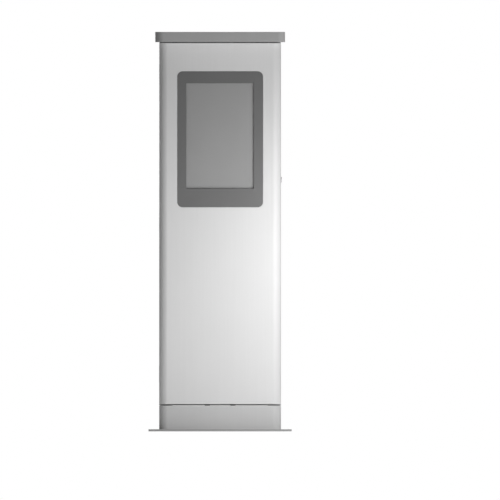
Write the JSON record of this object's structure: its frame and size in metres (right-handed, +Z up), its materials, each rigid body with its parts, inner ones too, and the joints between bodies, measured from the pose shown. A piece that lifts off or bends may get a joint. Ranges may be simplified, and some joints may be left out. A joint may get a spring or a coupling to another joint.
{
  "type": "parking pay station",
  "caption": "Slim free-standing pay station with a hinged screen door, side uprights, a rear cover, an overhanging canopy and a floor plate.",
  "frame": {"origin": "centre of the floor plate's underside, on the ground, amid the anchor holes", "axes": "+Z up; -Y towards the customer, out of the screen; +X to the customer's right, the side with the locks"},
  "size_m": [0.67, 0.411, 1.87],
  "materials": {
    "body_paint": "light grey powder coat, satin, fine orange peel",
    "frame_paint": "mid grey powder coat, satin",
    "canopy_paint": "grey powder coat, satin",
    "plinth_paint": "grey powder coat, satin",
    "floor_plate_paint": "grey powder coat on thick plate",
    "zinc_sheet": "galvanised sheet",
    "zinc_hardware": "bright zinc plate",
    "pin_steel": "drawn stainless steel",
    "lock_metal": "satin nickel plate",
    "pinion_brass": "cut brass",
    "seal_rubber": "foamed EPDM",
    "bezel_plastic": "dark grey, smooth",
    "screen_glass": "toughened, etched against glare",
    "display_module": "display module, polariser front",
    "circuit_board": "solder-masked laminate",
    "reader_plastic": "fine textured",
    "fan_plastic": "glass-filled, moulded",
    "filter_media": "fleece mat",
    "heatsink_metal": "black anodised",
    "supply_metal": "plain sheet case",
    "modem_plastic": "moulded",
    "breaker_plastic": "light grey moulding",
    "lever_plastic": "moulded",
    "terminal_plastic": "polyamide",
    "duct_plastic": "slotted hard PVC",
    "gland_plastic": "polyamide",
    "cable_jacket": "flexible jacket"
  },
  "bodies": {
    "cabinet": {"rear_cover": "body_paint", "left_upright": "frame_paint", "right_upright": "frame_paint", "canopy_shell": "canopy_paint", "canopy_soffit": "canopy_paint", "front_plinth": "plinth_paint", "rear_plinth": "plinth_paint", "base_plate": "floor_plate_paint", "foot_shoes": "zinc_sheet", "head_rail": "zinc_sheet", "sill_tray": "zinc_sheet", "plate_rails": "zinc_sheet", "mounting_plate": "zinc_sheet", "canopy_ribs": "zinc_sheet", "plinth_brackets": "zinc_sheet", "foot_bolts": "zinc_hardware", "canopy_bolts": "zinc_hardware", "plinth_screws": "zinc_hardware", "cover_screws": "zinc_hardware", "hinge_frame_leaves": "zinc_hardware", "lock_nuts": "zinc_hardware", "rod_guides": "zinc_hardware", "din_rail": "zinc_hardware", "hinge_pins": "pin_steel", "main_lock_body": "lock_metal", "cam_lock_body": "lock_metal", "rear_gasket": "seal_rubber", "fan_housings": "fan_plastic", "intake_filter": "filter_media", "controller_pc": "heatsink_metal", "power_supply": "supply_metal", "modem": "modem_plastic", "main_breaker": "breaker_plastic", "terminal_blocks": "terminal_plastic", "wiring_duct": "duct_plastic", "cable_glands": "gland_plastic", "power_lead": "cable_jacket", "door_loom": "cable_jacket"},
    "front_door": {"door_skin": "body_paint", "door_liner": "zinc_sheet", "door_gasket": "seal_rubber", "door_tongues": "zinc_hardware", "hinge_door_leaves": "zinc_hardware", "screen_bezel": "bezel_plastic", "screen_gasket": "seal_rubber", "screen_carrier": "zinc_sheet", "touch_glass": "screen_glass", "lcd_panel": "display_module", "display_board": "circuit_board", "card_reader": "reader_plastic"},
    "main_lock_plug": {"main_lock_plug": "lock_metal", "lock_pinion": "pinion_brass"},
    "upper_lock_rod": {"upper_lock_rod": "zinc_hardware"},
    "lower_lock_rod": {"lower_lock_rod": "zinc_hardware"},
    "lock_cover": {"lock_cover": "lock_metal"},
    "cam_lock_plug": {"cam_lock_plug": "lock_metal", "cam_lock_cam": "zinc_hardware"},
    "intake_fan_rotor": {"intake_fan_rotor": "fan_plastic"},
    "exhaust_fan_rotor": {"exhaust_fan_rotor": "fan_plastic"},
    "breaker_lever": {"breaker_lever": "lever_plastic"}
  },
  "joints": [
    {"name": "door_hinge", "type": "hinge", "parent": "cabinet", "child": "front_door", "pos_m": [-0.2815, -0.037, 0.9725], "axis": [0, 0, -1], "range_deg": [0, 90], "deforming": ["door_loom"]},
    {"name": "main_lock_turn", "type": "hinge", "parent": "cabinet", "child": "main_lock_plug", "pos_m": [0.245, 0, 1.177], "axis": [-1, 0, 0], "range_deg": [0, 90]},
    {"name": "upper_rod_slide", "type": "slide", "parent": "cabinet", "child": "upper_lock_rod", "axis": [0, 0, 1], "range_m": [0, 0.01767]},
    {"name": "lower_rod_slide", "type": "slide", "parent": "cabinet", "child": "lower_lock_rod", "axis": [0, 0, -1], "range_m": [0, 0.01767]},
    {"name": "lock_cover_swing", "type": "hinge", "parent": "cabinet", "child": "lock_cover", "pos_m": [0.2871, 0, 1.1875], "axis": [1, 0, 0], "range_deg": [-120, 120]},
    {"name": "cam_lock_turn", "type": "hinge", "parent": "cabinet", "child": "cam_lock_plug", "pos_m": [0.2637, 0, 1.287], "axis": [-1, 0, 0], "range_deg": [0, 90]},
    {"name": "intake_fan_spin", "type": "hinge", "parent": "cabinet", "child": "intake_fan_rotor", "pos_m": [0, 0.079, 0.42], "axis": [0, 1, 0], "continuous": true},
    {"name": "exhaust_fan_spin", "type": "hinge", "parent": "cabinet", "child": "exhaust_fan_rotor", "pos_m": [0, 0.087, 1.56], "axis": [0, 1, 0], "continuous": true},
    {"name": "breaker_throw", "type": "hinge", "parent": "cabinet", "child": "breaker_lever", "pos_m": [-0.07, -0.0363, 0.564], "axis": [-1, 0, 0], "range_deg": [0, 60]}
  ],
  "couplings": [
    {"joint": "upper_rod_slide", "follows": "lower_rod_slide", "ratio": 1},
    {"joint": "main_lock_turn", "follows": "lower_rod_slide", "rad_per_m": 88.889}
  ]
}
